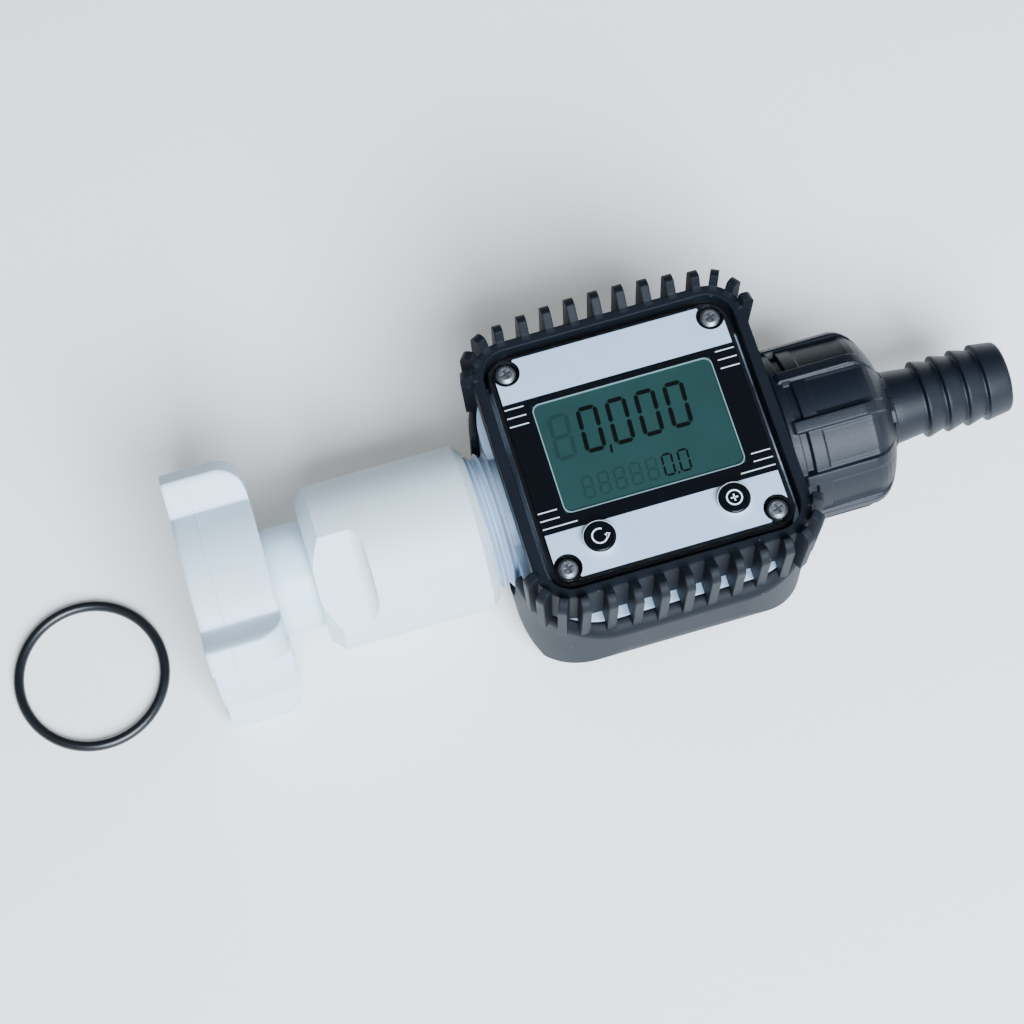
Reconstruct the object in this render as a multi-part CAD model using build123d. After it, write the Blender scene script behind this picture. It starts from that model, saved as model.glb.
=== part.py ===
from build123d import *
import math
import os

# Turbine flow meter for liquids, lying on its back with its display up.
# The pipe runs along X, from the swivel nut at -X to the hose tail at +X, and +Y is the top of the display.
# Every piece is drawn about the pipe axis. It is raised by axis_height when it is written, so that
# the middle of the guard's flat underside is the origin.

os.makedirs("parts", exist_ok=True)

# Overall levels, from the pipe axis
axis_height = 25.4           # pipe axis above the surface that the meter lies on
cover_top = 27.0
frame_top = 26.3
run_gap = 0.3                # between a soft or curved piece and its neighbour
slide_gap = 0.15             # round a sliding key
press_gap = 0.05             # a seated ring, bush or panel in its place
cut_reach = 60.0             # past the meter's half length, for cuts that go right through
cut_past = 1.0               # a shorter cut runs this much past the face that it opens

# Pipe and its thread, one inch
pipe_bore = 21.0
stub_core_d = 30.3           # the root of the one inch thread
stub_end = 54.0              # from the middle of the meter
thread_fit = 0.08            # radial, root of the thread to the crest of the socket

# Meter body
body_half_length = 34.0
body_top = 10.2
case_pocket_floor = 8.4
barrel_wall = 2.5

# Rubber guard
tray_half_length = 36.0
tray_half_width = 38.6
tray_plan_corner = 21.0
tray_top = 10.0
tray_shoulder = 3.4
tray_side_wall = 3.4
tray_end_wall = 1.7
tray_belly_radius = 22.4
tray_end_radius = 14.0
notch_depth = 3.0            # the pipe's notches start this far inside the body's ends
inlet_notch_radius = 18.4
guard_frame_half_x = 33.0
guard_frame_half_y = 32.7
guard_frame_corner = 8.5
guard_window_half = 30.5
guard_window_corner = 6.5
guard_skirt_bottom = 11.5
guard_end_skirt_bottom = 19.5
guard_end_cut_half = 27.0

# Ribs of the guard
rib_pitch = 6.0
ribs_each_side = 4
rib_thickness = 2.1
rib_proud = 0.1              # the middle rib stands out this much past the tray's side
rib_foot_inset = 0.8         # a rib's foot stands back this much from its tip
rib_arc_radius = 160.0       # the rib tips of a side lie on this shallow arc in plan
rib_foot = 8.4
rib_top = 29.3
rib_step = 0.3               # ribs stand this much over the frame at its outer edge
rib_tip_radius = 3.0
rib_root_inset = 1.0         # from the frame's window to the inner end of a rib
rib_root_rise = 0.6          # from the frame's lower edge to a rib's shoulder
rib_sink = 0.2               # into the frame's outer face
fan_centre = 24.0
fan_inset = 1.8              # the first fan rib reaches this much less than a straight one
fan_step = 0.5               # each further fan rib reaches this much less
fan_angles = (64.0, 38.0, 12.0)

# Display head
head_half = 29.4
head_corner = 5.4
case_bottom = 8.55
case_wall = 2.0
case_floor = 1.5
case_top = 23.2
case_step = 22.0             # ledge that carries the circuit board
ledge_wall = 1.3             # wall of the case outside that ledge
board_gap = 0.2
board_thickness = 1.0
board_corner = 3.0
board_notch = 6.0
gasket_thickness = 0.5
gasket_width = 0.8
gasket_inset = 0.1
cover_window = 1.5
cover_rim = 1.2
cover_edge = 0.7
facia_thickness = 0.3
facia_gap = 0.15             # between the facia and the cover's rim
screw_spacing = 50.0
screw_head_d = 4.7
screw_head_h = 1.7
screw_head_edge = 0.7
screw_top = 25.45
screw_shank_d = 2.4
screw_length = 12.0
screw_room = 0.2             # a screw's hole is this much wider than its shank
screw_end_room = 0.5
screw_recess_d = 5.2
screw_notch_d = 6.6          # clearing in the facia round a screw recess
cross_slot = (2.4, 0.55, 1.8)
cross_turn = 20.0
boss_d = 6.4
lower_boss_d = 5.2
boss_top = 21.2
lcd_window = (43.4, 27.8)
lcd_glass = (47.0, 31.5)
lcd_centre_y = 1.5
key_spread = 32.1
key_y = -20.3
key_d = 7.5
key_collar_d = 8.6
key_collar = 0.7
key_edge = 0.35
key_top = 27.25
key_travel = 0.4
switch_side = 6.0
switch_height = 0.6
plunger_d = 3.4

# Batteries and pick-up
cell_d = 10.5
cell_length = 44.5
cell_edge = 0.4
cell_cap = 1.0
cell_cap_d = 3.8
cell_y = 19.3
cell_z = 15.5
contact_thickness = 0.5
contact_size = 7.0
tongue_width = 2.4
tongue_thickness = 0.6
pickup_size = (4.2, 5.6, 2.6)
pickup_gap = 0.1
pickup_leg = 0.7
pickup_leg_y = 1.3

# Turbine
hub_d = 9.0
hub_nose = 2.2
hub_nose_d = 3.2
rotor_half_length = 6.0
blade_count = 6
blade_thickness = 1.3
blade_twist = 42.0
blade_sink = 0.8             # a blade's root lies this deep in the hub
blade_tip_gap = 0.3
shaft_d = 2.0
shaft_half_length = 12.5
shaft_room = 0.3             # round the shaft's ends, inside the straighteners
bush_d = 4.4
bush_length = 3.2
bush_clearance = 0.04
cage_inner = 9.0             # near end of a flow straightener, from the middle
cage_outer = 25.0
cage_wall = 1.0
cage_nose = 3.5
cage_nose_d = 3.0
cage_fins = 5
fin_thickness = 1.2
fin_sink = 0.4
ring_width = 1.1
ring_depth = 0.7             # of the groove that holds a retaining ring
ring_reach = 0.8             # a retaining ring stands this far into the bore
ring_split = 3.0
magnet_d = 2.4
magnet_length = 1.6
magnet_turns = (30.0, 210.0)  # midway between two blades

# Inlet side: swivel nut, tail and adapter
nut_mouth = -109.0
nut_back = -90.3
nut_body_d = 50.4            # stays clear of the surface that the meter lies on
nut_lug_d = 66.6
nut_lug_tip = 5.4            # width of a lug at its tip
nut_lug_root_angle = 9.95
nut_lugs = 4
nut_lug_turn = 45.0
nut_lug_round = 6.5
nut_lug_sink = 2.0
nut_thread_d = 45.0          # the crest size of the nut's inside thread
nut_relief_d = 48.0          # behind the thread, where the washer lies
nut_mouth_chamfer = 1.6
nut_wall = 4.0
tail_d = 25.7
tail_bore = 20.0
tail_flange_d = 44.4
tail_flange = 2.7
tail_end = -68.0
nut_washer_d = 44.4
nut_washer = 2.0
adapter_left = -80.7
adapter_right = -39.5
adapter_d = 40.0
adapter_chamfer_left = 3.1
adapter_chamfer_right = 2.0
adapter_flat_af = 33.0
adapter_flat_length = 13.0
adapter_flat_runout = 3.3    # radius of the curve that the cutter left at a flat's inner end
adapter_flat_turn = 33.0
seal_thickness = 2.0
seal_inset = 0.5             # the flat seals lie this far inside the stub's outside
seal_bore_step = 0.3         # and this far outside the bore that they seal

# Outlet side: union nut and hose tail
union_ring_end = 36.7
union_groove_end = 38.7
union_band_end = 42.1
union_end = 62.9
union_ring_d = 42.4
union_groove_d = 39.6
union_panel_d = 41.6
union_rib_d = 44.0
union_rib_width = 2.8
union_ribs = 10
union_rib_start = 35.3
union_rib_chamfer = 0.8
union_rib_bend = 53.2        # where a rib starts to follow the dome
union_rib_mid = (57.4, 0, 19.7)
union_rib_end = 60.2
union_rib_root = 15.0
union_rib_turn = 16.0
union_shoulder = 54.4
union_dome = ((57.4, 0, 19.2), (59.7, 0, 16.0))
union_dome_step = 2.2        # the dome meets the collar this much wider
union_collar_d = 19.2
union_collar = 1.6
union_lip_inner = 58.3
union_lip_bore = 18.6
union_seal = 1.5
hose_flange_d = 29.4
hose_flange = 2.6
hose_bore = 12.6
hose_shank_d = 18.0
hose_shank_past = 0.6        # the shank runs this far out of the union nut before it tapers
hose_neck_d = 16.2
hose_neck = 0.6
barb_first = 71.1
barb_pitch = 5.05
barb_count = 4
barb_d = 18.95
barb_root_d = 16.6
barb_face = 0.35             # length of a barb's steep side
barb_land = 0.6              # the slope behind a barb ends this far before the next
hose_end = 92.4
hose_tip_d = 17.2
hose_tip_round = 1.2

# Loose seal that lies beside the inlet
loose_ring_x = -139.0
loose_ring_y = -1.5
loose_ring_mean_d = 35.6
loose_ring_section = 2.62
loose_ring_sides = 12

# Sizes that follow from those above
rib_reach = tray_half_width + rib_proud
body_side_inset = tray_side_wall + run_gap
body_end_inset = tray_half_length - body_half_length
outlet_notch_radius = union_rib_d / 2 + run_gap
union_left = body_half_length + run_gap
cover_under = cover_top - cover_window
facia_top = cover_under - press_gap
facia_bottom = facia_top - facia_thickness
head_inner_half = head_half - cover_rim
head_inner_corner = head_corner - cover_rim
board_half = head_half - ledge_wall - board_gap
board_top = case_step + board_thickness
key_bottom = facia_bottom - press_gap - key_collar
flange_right = nut_back - nut_wall - run_gap
flange_left = flange_right - tail_flange
nut_thread_end = flange_left - nut_washer - run_gap


def write(name, shape):
    """Raise a piece from the pipe axis to its height over the surface and write it."""
    export_step(Pos(0, 0, axis_height) * shape, f"parts/{name}.step")


def rod(diameter, start, end):
    """Cylinder along the pipe axis, from start to end."""
    middle = (start + end) / 2
    return Pos(middle, 0, 0) * Rot(0, 90, 0) * Cylinder(diameter / 2, end - start)


def through_rod(diameter):
    """Cylinder along the pipe axis, longer than the meter, for cuts."""
    return rod(diameter, -cut_reach, cut_reach)


def tube(outer, inner, start, end):
    """Cylinder along the pipe axis with a through hole."""
    return rod(outer, start, end) - rod(inner, start - cut_past, end + cut_past)


def slab(half_x, half_y, corner, bottom, top):
    """Upright block with rounded corners in plan."""
    plan = RectangleRounded(2 * half_x, 2 * half_y, corner)
    return Pos(0, 0, bottom) * extrude(plan, top - bottom)


def upright(diameter, x, y, bottom, top):
    """Upright cylinder at a place on the face."""
    return Pos(x, y, (bottom + top) / 2) * Cylinder(diameter / 2, top - bottom)


def corner_places(spread):
    """The four corners of a square pattern on the face."""
    half = spread / 2
    return [(x, y) for x in (-half, half) for y in (-half, half)]


def turned(outline):
    """Solid of revolution about the pipe axis from points (x, radius)."""
    points = [(x, 0, radius) for x, radius in outline]
    face = make_face(Polyline(*points, close=True))
    return revolve(face, Axis.X)


def tub(end_inset, side_inset, top):
    """Tub with a deep round belly: plan, cross section and side view intersected."""
    half_x = tray_half_length - end_inset
    half_y = tray_half_width - side_inset
    bottom = -axis_height + side_inset
    height = top - bottom
    plan_corner = tray_plan_corner - side_inset
    cross = Rectangle(2 * half_y, height)
    cross = fillet(cross.vertices().sort_by(Axis.Y)[:2], tray_belly_radius - side_inset)
    side = Rectangle(2 * half_x, height)
    side = fillet(side.vertices().sort_by(Axis.Y)[:2], tray_end_radius - end_inset)
    middle = (top + bottom) / 2
    body = slab(half_x, half_y, plan_corner, bottom, top)
    body = body & Pos(0, 0, middle) * extrude(Plane.YZ * cross, half_x + cut_past, both=True)
    return body & Pos(0, 0, middle) * extrude(Plane.XZ * side, half_y + cut_past, both=True)


def guard_rib(reach):
    """One upright rib of the guard, standing out along +Y."""
    inner = guard_window_half + rib_root_inset
    skirt = guard_frame_half_y - rib_sink
    tip_side = (reach, rib_top - rib_tip_radius)
    tip_top = (reach - rib_tip_radius, rib_top)
    sides = Polyline(
        tip_top,
        (guard_frame_half_y, frame_top + rib_step),
        (inner, frame_top),
        (inner, guard_skirt_bottom + rib_root_rise),
        (skirt, guard_skirt_bottom + rib_root_rise),
        (skirt, rib_foot),
        (reach - rib_foot_inset, rib_foot),
        tip_side,
    )
    tip = RadiusArc(tip_side, tip_top, -rib_tip_radius)
    face = make_face([Plane.YZ * sides, Plane.YZ * tip])
    return extrude(face, rib_thickness / 2, dir=(1, 0, 0), both=True)


def guard_tray():
    """Tray of the guard, still full: a deep tub with a round shoulder, notched at both ends for the pipe."""
    tray = tub(0, 0, tray_top)
    tray = fillet(tray.edges().group_by(Axis.Z)[-1], tray_shoulder)
    start = body_half_length - notch_depth
    for side, radius in ((-1, inlet_notch_radius), (1, outlet_notch_radius)):
        tray -= rod(2 * radius, *sorted((side * start, side * cut_reach)))
        slot = Box(cut_reach - start, 2 * radius, cut_reach)
        tray -= Pos(side * (start + cut_reach) / 2, 0, cut_reach / 2) * slot
    return tray


def guard_frame():
    """Frame of the guard round the cover, with skirts that are shorter at the two pipe ends."""
    frame = slab(guard_frame_half_x, guard_frame_half_y, guard_frame_corner, guard_skirt_bottom, frame_top)
    frame -= slab(guard_window_half, guard_window_half, guard_window_corner, 0, cut_reach)
    end_cut = Box(2 * cut_reach, 2 * guard_end_cut_half, 2 * (guard_end_skirt_bottom - guard_skirt_bottom))
    return frame - Pos(0, 0, guard_skirt_bottom) * end_cut


def guard():
    """Rubber guard: open frame round the cover, upright ribs, and a tray under the meter."""
    whole = guard_tray() + guard_frame()
    for index in range(-ribs_each_side, ribs_each_side + 1):
        x = index * rib_pitch
        sagitta = rib_arc_radius - math.sqrt(rib_arc_radius ** 2 - x ** 2)
        rib = Pos(x, 0, 0) * guard_rib(rib_reach - sagitta)
        whole += [rib, Rot(0, 0, 180) * rib]
    for order, angle in enumerate(fan_angles):
        rib = Pos(0, -fan_centre, 0) * guard_rib(rib_reach - fan_inset - order * fan_step)
        for quarter in (0, 180):
            whole += Rot(0, 0, quarter) * Pos(fan_centre, fan_centre, 0) * Rot(0, 0, angle - 90) * rib
            whole += Rot(0, 0, quarter) * Pos(-fan_centre, fan_centre, 0) * Rot(0, 0, 90 - angle) * rib
    return whole - tub(tray_end_wall, tray_side_wall, body_top + run_gap)


def meter_body():
    """White body: tub that fills the guard's tray, with a bored pipe and two threaded stubs."""
    body = tub(body_end_inset, body_side_inset, body_top)
    barrel_d = pipe_bore + 2 * barrel_wall
    body += rod(barrel_d, -body_half_length, body_half_length)
    body += rod(stub_core_d, -stub_end, stub_end)
    pocket = slab(head_half + run_gap, head_half + run_gap, head_corner, case_pocket_floor, cut_reach)
    body -= pocket - through_rod(barrel_d)
    body -= through_rod(pipe_bore)
    for side in (-1, 1):
        near = side * (cage_outer - press_gap)
        far = side * (cage_outer + ring_width + press_gap)
        body -= rod(pipe_bore + 2 * ring_depth, *sorted((near, far)))
    return body


def rotor():
    """Turbine rotor: pointed hub with helical blades, made by lofting turned sections along the axis."""
    nose_end = rotor_half_length + hub_nose
    hub = turned([
        (-nose_end, 0),
        (-nose_end, hub_nose_d / 2),
        (-rotor_half_length, hub_d / 2),
        (rotor_half_length, hub_d / 2),
        (nose_end, hub_nose_d / 2),
        (nose_end, 0),
    ])
    blade_root = hub_d / 2 - blade_sink
    blade_tip = pipe_bore / 2 + cut_past
    steps = (-1.0, -1 / 3, 1 / 3, 1.0)
    sections = []
    for step in steps:
        section = Pos(0, (blade_root + blade_tip) / 2) * Rectangle(blade_thickness, blade_tip - blade_root)
        placed = Plane(origin=(step * rotor_half_length, 0, 0), x_dir=(0, 1, 0), z_dir=(1, 0, 0))
        sections.append(Rot(step * blade_twist / 2, 0, 0) * (placed * section))
    blade = loft(sections) & through_rod(pipe_bore - 2 * blade_tip_gap)
    whole = hub
    for index in range(blade_count):
        whole += Rot(index * 360 / blade_count, 0, 0) * blade
    pocket = upright(magnet_d, 0, 0, hub_d / 2 - magnet_length, hub_d / 2 + cut_past)
    for angle in magnet_turns:
        whole -= Rot(angle, 0, 0) * pocket
    return whole - through_rod(shaft_d)


def rotor_magnets():
    """Two small magnets let into the hub, one each side of the shaft, between blades."""
    magnet = upright(magnet_d, 0, 0, hub_d / 2 - magnet_length, hub_d / 2)
    return Compound([Rot(angle, 0, 0) * magnet for angle in magnet_turns])


def straightener(side):
    """Flow straightener: thin ring in the bore, radial fins, and a hub that holds the rotor's bush."""
    near = side * cage_inner
    far = side * cage_outer
    cage = tube(pipe_bore - 2 * press_gap, pipe_bore - 2 * cage_wall, *sorted((near, far)))
    nose = far - side * cage_nose
    cage += turned([(near, 0), (near, hub_d / 2), (nose, hub_d / 2), (far, cage_nose_d / 2), (far, 0)])
    fin_height = (pipe_bore - hub_d) / 2 - fin_sink
    for index in range(cage_fins):
        fin = Pos((near + nose) / 2, 0, hub_d / 2 - fin_sink + fin_height / 2)
        fin = fin * Box(abs(nose - near), fin_thickness, fin_height)
        cage += Rot(index * 360 / cage_fins, 0, 0) * fin
    cage -= rod(bush_d, *sorted((near - side * cut_past, near + side * bush_length)))
    return cage - rod(shaft_d + 2 * shaft_room, *sorted((near, side * (shaft_half_length + cut_past))))


def bush(side):
    """Ceramic bush for the shaft, pressed in the straightener's hub."""
    low, high = sorted((side * cage_inner, side * (cage_inner + bush_length)))
    return tube(bush_d, shaft_d + 2 * bush_clearance, low, high)


def retaining_ring(side):
    """Split spring ring in a groove of the bore."""
    middle = side * (cage_outer + ring_width / 2)
    outer = pipe_bore + 2 * ring_depth - 2 * press_gap
    ring = tube(outer, pipe_bore - 2 * ring_reach, middle - ring_width / 2, middle + ring_width / 2)
    split = Box(2 * ring_width, ring_split, 2 * ring_split)
    return ring - Pos(middle, 0, -pipe_bore / 2) * split


def head_case():
    """Black case of the display head, saddled over the pipe barrel, with wells for two cells."""
    case = slab(head_half, head_half, head_corner, case_bottom, case_top)
    inner_half = head_half - case_wall
    inner_corner = head_corner - case_wall
    inside = slab(inner_half, inner_half, inner_corner, case_bottom + case_floor, case_top + cut_past)
    saddle_d = pipe_bore + 2 * barrel_wall + 2 * run_gap
    case -= inside - through_rod(saddle_d + 2 * case_floor)
    case -= through_rod(saddle_d)
    ledge_half = board_half + board_gap
    case -= slab(ledge_half, ledge_half, head_corner - ledge_wall, case_step, case_top + cut_past)
    screw_end = screw_top - screw_head_h - screw_length - screw_end_room
    for x, y in corner_places(screw_spacing):
        case += upright(lower_boss_d, x, y, case_bottom + case_floor / 2, boss_top)
        case -= upright(boss_d + 2 * press_gap, x, y, boss_top, case_top + cut_past)
        case -= upright(screw_shank_d + screw_room, x, y, screw_end, case_top)
    return case


def cover_gasket():
    """Flat frame gasket between the case and the cover."""
    half = head_half - gasket_inset
    corner = head_corner - gasket_inset
    gasket = slab(half, half, corner, case_top, case_top + gasket_thickness)
    gasket -= slab(half - gasket_width, half - gasket_width, corner - gasket_width, 0, cut_reach)
    for x, y in corner_places(screw_spacing):
        gasket -= upright(boss_d + 2 * press_gap, x, y, case_top - cut_past, case_top + cut_past)
    return gasket


def clear_cover():
    """Clear cover with a rim, four screw bosses that reach into the case, and two key holes."""
    rim_bottom = case_top + gasket_thickness
    cover = slab(head_half, head_half, head_corner, rim_bottom, cover_top)
    cover = chamfer(cover.edges().group_by(Axis.Z)[-1], cover_edge)
    cover -= slab(head_inner_half, head_inner_half, head_inner_corner, rim_bottom - cut_past, cover_under)
    for x, y in corner_places(screw_spacing):
        cover += upright(boss_d, x, y, boss_top + press_gap, cover_under)
        cover -= upright(screw_recess_d, x, y, screw_top - screw_head_h, cover_top + cut_past)
        cover -= upright(screw_shank_d + screw_room, x, y, boss_top - cut_past, cover_top)
    for side in (-1, 1):
        cover -= upright(key_d + 2 * slide_gap, side * key_spread / 2, key_y, 0, cut_reach)
    return cover


def facia_panel():
    """Thin printed panel under the cover, open at the display, the keys and the screw bosses."""
    half = head_inner_half - facia_gap
    panel = slab(half, half, head_inner_corner - facia_gap, facia_bottom, facia_top)
    panel -= Pos(0, lcd_centre_y, facia_top) * Box(lcd_window[0], lcd_window[1], 2 * cut_past)
    for x, y in corner_places(screw_spacing):
        panel -= upright(screw_notch_d, x, y, 0, cut_reach)
    for side in (-1, 1):
        panel -= upright(key_d + 2 * slide_gap, side * key_spread / 2, key_y, 0, cut_reach)
    return panel


def face_screws():
    """Four pan head screws with a cross recess, which hold the cover down."""
    screws = []
    seat = screw_top - screw_head_h
    for x, y in corner_places(screw_spacing):
        head = upright(screw_head_d, x, y, seat, screw_top)
        head = chamfer(head.edges().group_by(Axis.Z)[-1], screw_head_edge)
        screw = head + upright(screw_shank_d, x, y, seat - screw_length, seat)
        for angle in (cross_turn, cross_turn + 90):
            screw -= Pos(x, y, screw_top) * Rot(0, 0, angle) * Box(*cross_slot)
        screws.append(screw)
    return Compound(screws)


def lcd_display():
    """Glass display module behind the facia's window."""
    top = facia_bottom - press_gap
    return Pos(0, lcd_centre_y, (top + board_top) / 2) * Box(lcd_glass[0], lcd_glass[1], top - board_top)


def circuit_board():
    """Circuit board on the case's ledge, notched round the screw bosses."""
    board = slab(board_half, board_half, board_corner, case_step, board_top)
    notch = Box(board_notch, board_notch, 2 * cut_reach)
    for x, y in corner_places(screw_spacing):
        board -= upright(boss_d + 2 * run_gap, x, y, 0, cut_reach)
        board -= Pos(math.copysign(board_half, x), math.copysign(board_half, y), 0) * notch
    return board


def key(side):
    """Round key: cap through the cover, and a collar under the facia that stops it."""
    x = side * key_spread / 2
    cap = upright(key_d, x, key_y, key_bottom, key_top)
    cap = chamfer(cap.edges().group_by(Axis.Z)[-1], key_edge)
    return cap + upright(key_collar_d, x, key_y, key_bottom, key_bottom + key_collar)


def key_switch(side):
    """Low switch on the circuit board, whose plunger ends just under the key's lowest place."""
    x = side * key_spread / 2
    body = Pos(x, key_y, board_top + switch_height / 2) * Box(switch_side, switch_side, switch_height)
    plunger_top = key_bottom - key_travel - press_gap
    return body + upright(plunger_d, x, key_y, board_top + switch_height / 2, plunger_top)


def cell(side):
    """One round cell with its raised contact."""
    body = Cylinder(cell_d / 2, cell_length - cell_cap)
    body = Pos(0, 0, -cell_cap / 2) * chamfer(body.edges(), cell_edge)
    body += Pos(0, 0, (cell_length - cell_cap) / 2) * Cylinder(cell_cap_d / 2, cell_cap)
    return Pos(0, side * cell_y, cell_z) * Rot(0, 90 * side, 0) * body


def cell_contacts():
    """Bent spring plates at both ends of both cells."""
    plates = []
    wall = head_half - case_wall
    reach = wall - cell_length / 2 - press_gap
    for end in (-1, 1):
        for side in (-1, 1):
            plate_x = end * (wall - contact_thickness / 2)
            plate = Pos(plate_x, side * cell_y, cell_z) * Box(contact_thickness, contact_size, contact_size)
            tongue = Box(reach, tongue_width, tongue_thickness)
            plates.append(plate + Pos(end * (wall - reach / 2), side * cell_y, cell_z) * tongue)
    return Compound(plates)


def pickup_sensor():
    """Magnetic pick-up over the rotor, hung from the circuit board by two legs."""
    bottom = pipe_bore / 2 + barrel_wall + run_gap + case_floor + pickup_gap
    body = Pos(0, 0, bottom + pickup_size[2] / 2) * Box(*pickup_size)
    length = case_step - bottom
    for y in (-pickup_leg_y, pickup_leg_y):
        body += Pos(0, y, bottom + length / 2) * Box(pickup_leg, pickup_leg, length)
    return body


def nut_lug():
    """One hand lug of the swivel nut: a tapered block with a round shoulder at the back."""
    root_y = nut_body_d / 2 * math.sin(math.radians(nut_lug_root_angle))
    root_z = nut_body_d / 2 * math.cos(math.radians(nut_lug_root_angle)) - nut_lug_sink
    tip_y = nut_lug_tip / 2
    tip_z = nut_lug_d / 2
    outline = Polyline((-root_y, root_z), (root_y, root_z), (tip_y, tip_z), (-tip_y, tip_z), close=True)
    lug = Pos(nut_mouth, 0, 0) * extrude(make_face(Plane.YZ * outline), nut_back - nut_mouth)
    back_edge = lug.edges().filter_by(Axis.Y).sort_by(Axis.Z)[-2:].sort_by(Axis.X)[-1:]
    return fillet(back_edge, nut_lug_round) & rod(nut_lug_d, nut_mouth, nut_back)


def swivel_nut():
    """Swivel nut with four hand lugs, open threaded mouth and a back wall that the tail passes through."""
    nut = rod(nut_body_d, nut_mouth, nut_back)
    lug = nut_lug()
    for index in range(nut_lugs):
        nut += Rot(nut_lug_turn + index * 360 / nut_lugs, 0, 0) * lug
    nut -= rod(nut_thread_d, nut_mouth - cut_past, nut_thread_end)
    nut -= rod(nut_relief_d, nut_thread_end, nut_back - nut_wall)
    nut -= turned([
        (nut_mouth - cut_past, 0),
        (nut_mouth - cut_past, nut_thread_d / 2 + nut_mouth_chamfer + cut_past),
        (nut_mouth + nut_mouth_chamfer, nut_thread_d / 2),
        (nut_mouth + nut_mouth_chamfer, 0),
    ])
    return nut - rod(tail_d + 2 * run_gap, nut_mouth, nut_back + cut_past)


def swivel_tail():
    """White tail: flange inside the swivel nut and a tube that screws into the adapter."""
    tail = rod(tail_flange_d, flange_left, flange_right)
    tail += rod(tail_d, flange_left, tail_end)
    return tail - rod(tail_bore, flange_left - cut_past, tail_end + cut_past)


def nut_washer_ring():
    """Flat rubber washer on the tail's flange, inside the swivel nut."""
    return tube(nut_washer_d, tail_d, flange_left - nut_washer, flange_left)


def thread_adapter():
    """Turned adapter with two chamfers, wrench flats and a socket at each end."""
    left = adapter_left
    right = adapter_right
    radius = adapter_d / 2
    adapter = turned([
        (left, 0),
        (left, radius - adapter_chamfer_left),
        (left + adapter_chamfer_left, radius),
        (right - adapter_chamfer_right, radius),
        (right, radius - adapter_chamfer_right),
        (right, 0),
    ])
    for turn in (0, 180):
        flat = Box(2 * adapter_flat_length, adapter_d, adapter_d)
        flat = Pos(left, 0, adapter_flat_af / 2 + adapter_d / 2) * flat
        inner_edge = flat.edges().filter_by(Axis.Y).sort_by(Axis.Z)[:2].sort_by(Axis.X)[-1:]
        flat = fillet(inner_edge, adapter_flat_runout)
        adapter -= Rot(adapter_flat_turn + turn, 0, 0) * flat
    adapter -= rod(tail_d + 2 * press_gap, left - cut_past, tail_end + press_gap)
    adapter -= rod(tail_bore, left, right)
    return adapter - rod(stub_core_d + 2 * thread_fit, -stub_end - seal_thickness, right + cut_past)


def adapter_seal_ring():
    """Flat seal between the adapter's shoulder and the end of the inlet stub."""
    outer = stub_core_d - 2 * seal_inset
    return tube(outer, tail_bore + 2 * seal_bore_step, -stub_end - seal_thickness, -stub_end)


def union_profile():
    """Half section of the union nut: ring, groove, band, domed shoulder and collar."""
    start_r = union_panel_d / 2
    dome_end = (union_end - union_collar, 0, union_collar_d / 2 + union_dome_step)
    dome = Spline((union_shoulder, 0, start_r), *union_dome, dome_end)
    edges = Polyline(
        dome_end,
        (union_end - union_collar, 0, union_collar_d / 2),
        (union_end, 0, union_collar_d / 2),
        (union_end, 0, 0),
        (union_left, 0, 0),
        (union_left, 0, union_ring_d / 2),
        (union_ring_end, 0, union_ring_d / 2),
        (union_ring_end, 0, union_groove_d / 2),
        (union_groove_end, 0, union_groove_d / 2),
        (union_groove_end, 0, union_ring_d / 2),
        (union_band_end, 0, union_ring_d / 2),
        (union_band_end, 0, start_r),
        (union_shoulder, 0, start_r),
    )
    return make_face([dome, edges])


def union_rib():
    """One grip rib of the union nut, straight along the nut and then down its dome."""
    crest = union_rib_d / 2
    straight = Polyline(
        (union_rib_end, 0, union_rib_root),
        (union_rib_start, 0, union_rib_root),
        (union_rib_start, 0, crest - union_rib_chamfer),
        (union_rib_start + union_rib_chamfer, 0, crest),
        (union_rib_bend, 0, crest),
    )
    curve = Spline((union_rib_bend, 0, crest), union_rib_mid, (union_rib_end, 0, union_rib_root))
    return extrude(make_face([straight, curve]), union_rib_width / 2, dir=(0, 1, 0), both=True)


def union_nut():
    """Ribbed union nut with a domed end that holds the hose tail on the outlet stub."""
    nut = revolve(union_profile(), Axis.X)
    rib = union_rib()
    for index in range(union_ribs):
        nut += Rot(union_rib_turn + index * 360 / union_ribs, 0, 0) * rib
    nut -= rod(stub_core_d + 2 * thread_fit, union_left - cut_past, union_lip_inner)
    return nut - rod(union_lip_bore, union_left, union_end + cut_past)


def union_seal_ring():
    """Flat seal between the outlet stub and the hose tail."""
    outer = stub_core_d - 2 * seal_inset
    return tube(outer, pipe_bore + 2 * seal_bore_step, stub_end, stub_end + union_seal)


def hose_tail():
    """Hose tail: flange inside the union nut, shank, and four barbs that face the nut."""
    flange_start = stub_end + union_seal
    flange_end = flange_start + hose_flange
    outline = [
        (flange_start, 0),
        (flange_start, hose_flange_d / 2),
        (flange_end, hose_flange_d / 2),
        (flange_end, hose_shank_d / 2),
        (union_end + hose_shank_past, hose_shank_d / 2),
        (barb_first - hose_neck, hose_neck_d / 2),
    ]
    for index in range(barb_count):
        ridge = barb_first + index * barb_pitch
        outline.append((ridge - barb_face, barb_root_d / 2 if index else hose_neck_d / 2))
        outline.append((ridge, barb_d / 2))
        if index < barb_count - 1:
            outline.append((ridge + barb_pitch - barb_land, barb_root_d / 2))
    outline.append((hose_end - hose_tip_round, hose_tip_d / 2))
    outline.append((hose_end, hose_tip_d / 2 - hose_tip_round))
    outline.append((hose_end, 0))
    return turned(outline) - rod(hose_bore, flange_start - cut_past, hose_end + cut_past)


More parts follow.
